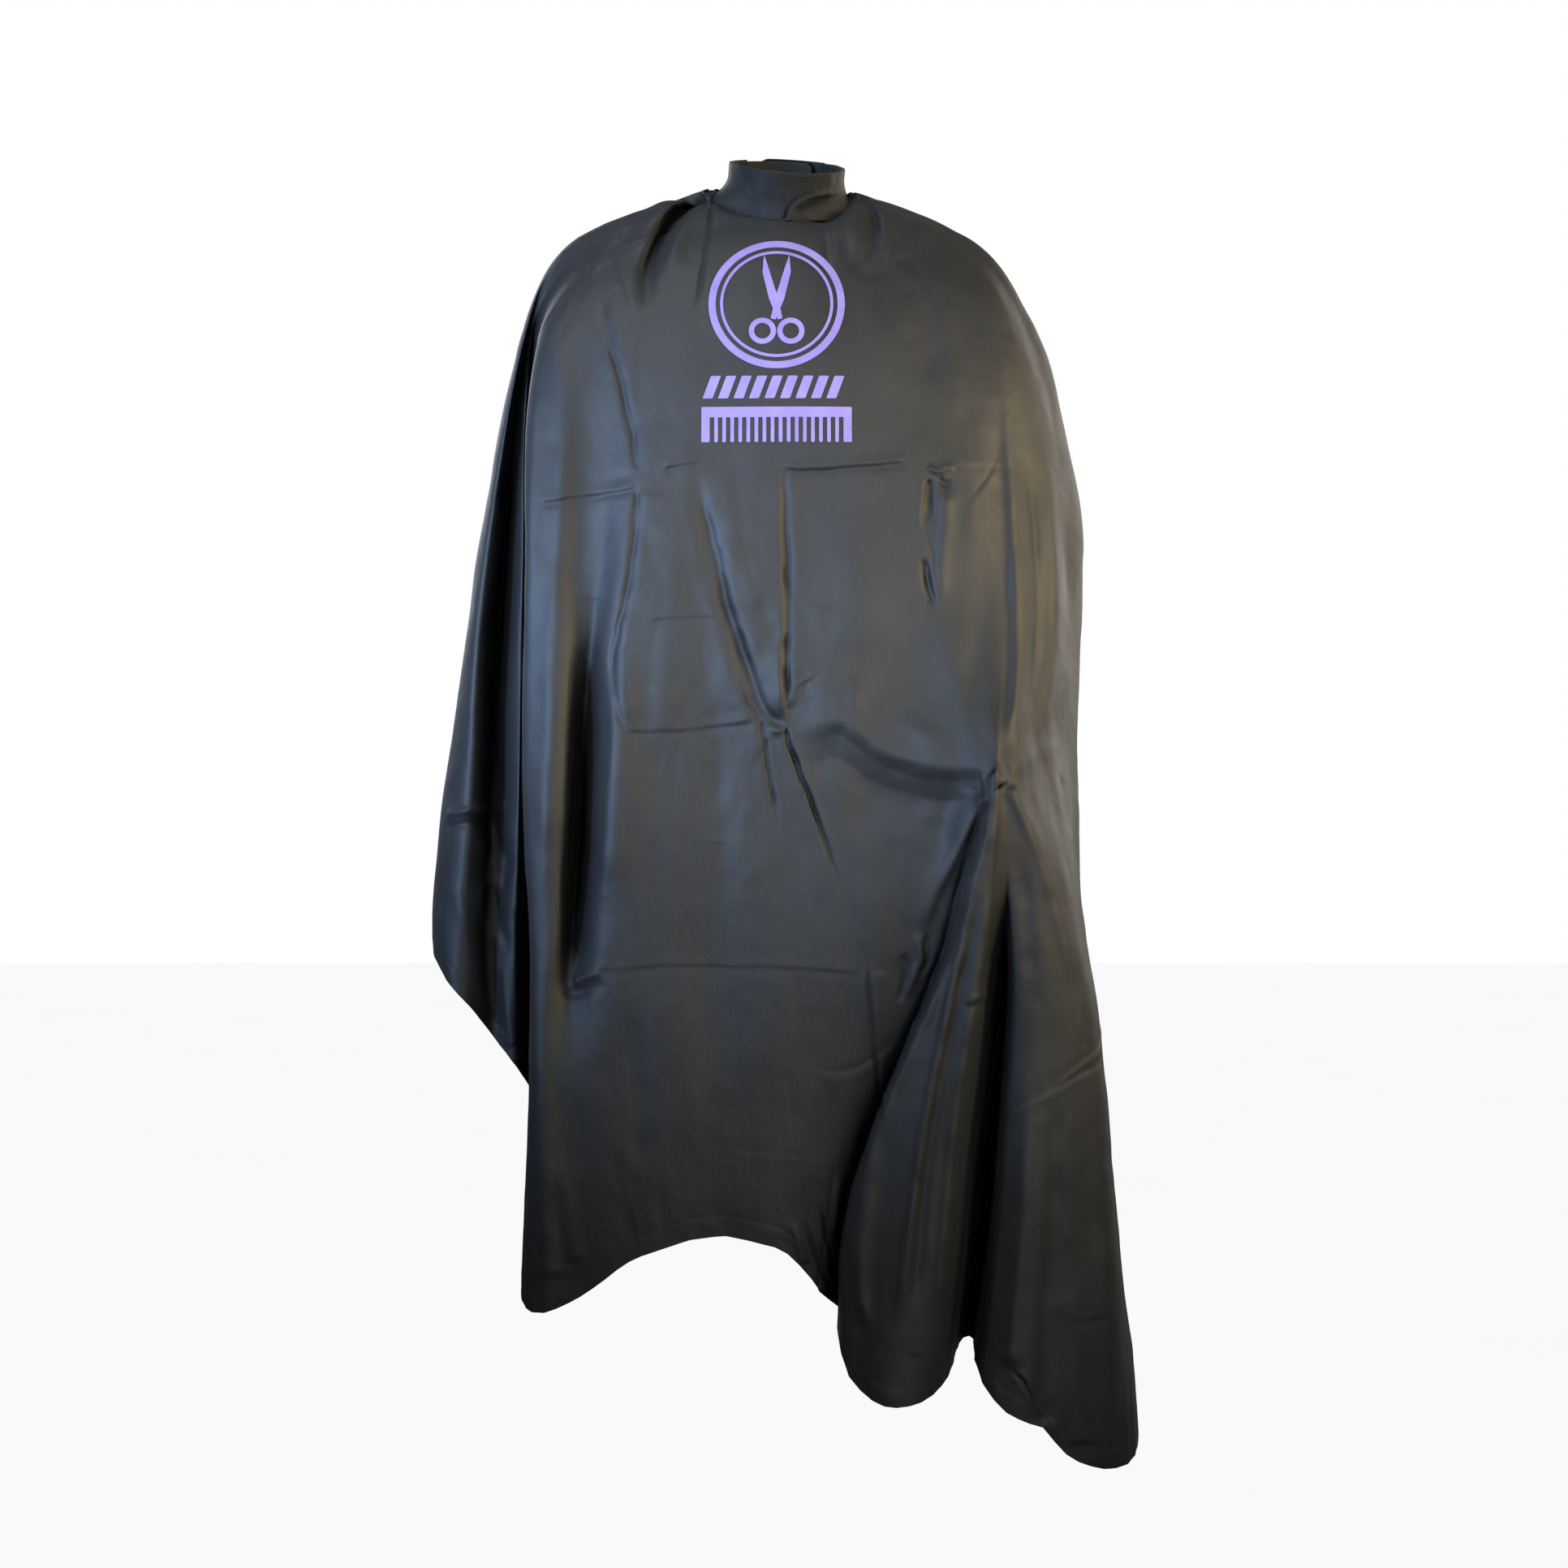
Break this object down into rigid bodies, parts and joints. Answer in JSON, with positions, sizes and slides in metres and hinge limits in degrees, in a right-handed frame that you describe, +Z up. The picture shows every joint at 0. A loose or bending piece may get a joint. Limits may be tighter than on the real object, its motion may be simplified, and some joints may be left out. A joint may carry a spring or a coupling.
{
  "type": "barber cape",
  "caption": "Draped hairdressing cape in black satin-weave cloth with a snap-closed stand-up neckband, split back, turned hem and a printed chest badge, hanging in soft folds as worn.",
  "frame": {"origin": "centre of the neck opening, at half the height of the neckband", "axes": "+Z up as worn, -Y to the front of the wearer, +X to the wearer's left hand side; the neckband's axis leans forward and slightly sideways"},
  "size_m": [0.6771, 0.3499, 1.2685],
  "materials": {
    "cape_fabric": "black polyester satin weave, soft sheen, fine crumples",
    "band_fabric": "the same black cloth, doubled and topstitched",
    "interfacing": "non-woven stiffener, unseen",
    "thread": "black polyester sewing thread",
    "print_ink": "lavender screen-printed ink, matt",
    "snap_metal": "dark plated snap fasteners",
    "label_tape": "plain woven satin tape, blank"
  },
  "bodies": {
    "cape": {"cape_cloth": "cape_fabric", "hem_turnup": "cape_fabric", "hem_stitching": "thread", "chest_print": "print_ink", "care_label": "label_tape", "neckband_shell": "band_fabric", "neckband_interfacing": "interfacing", "neckband_lining": "band_fabric", "neck_seam_binding": "band_fabric", "neckband_stitching": "thread"},
    "outer_tab": {"outer_tab_shell": "band_fabric", "outer_tab_interfacing": "interfacing", "outer_tab_lining": "band_fabric", "snap_caps": "snap_metal", "snap_sockets": "snap_metal"},
    "under_tab": {"under_tab_shell": "band_fabric", "under_tab_interfacing": "interfacing", "under_tab_lining": "band_fabric", "snap_studs": "snap_metal", "snap_posts": "snap_metal"},
    "flap_left": {"back_flap_left": "cape_fabric", "hem_turnup_flap_left": "cape_fabric", "back_edge_facing_left": "cape_fabric", "hem_stitching_flap_left": "thread"},
    "flap_right": {"back_flap_right": "cape_fabric", "hem_turnup_flap_right": "cape_fabric", "back_edge_facing_right": "cape_fabric", "hem_stitching_flap_right": "thread"}
  },
  "joints": [
    {"name": "outer_tab_peel", "type": "hinge", "parent": "cape", "child": "outer_tab", "pos_m": [0.04023, 0.03787, 0.00914], "axis": [-0.0584, 0.2924, -0.9545], "range_deg": [0, 120]},
    {"name": "under_tab_flex", "type": "hinge", "parent": "cape", "child": "under_tab", "pos_m": [-0.03882, 0.03787, 0.01397], "axis": [0.0584, -0.2924, 0.9545], "range_deg": [0, 30]},
    {"name": "back_flap_right_swing", "type": "hinge", "parent": "cape", "child": "flap_right", "pos_m": [0.007, 0.1306, -0.16], "axis": [0.2542, -0.0064, -0.9671], "range_deg": [0, 75]},
    {"name": "back_flap_left_swing", "type": "hinge", "parent": "cape", "child": "flap_left", "pos_m": [-0.007, 0.1306, -0.16], "axis": [0.2542, 0.0064, 0.9671], "range_deg": [0, 75]}
  ],
  "couplings": [
    {"joint": "under_tab_flex", "follows": "outer_tab_peel", "ratio": 0.25}
  ]
}
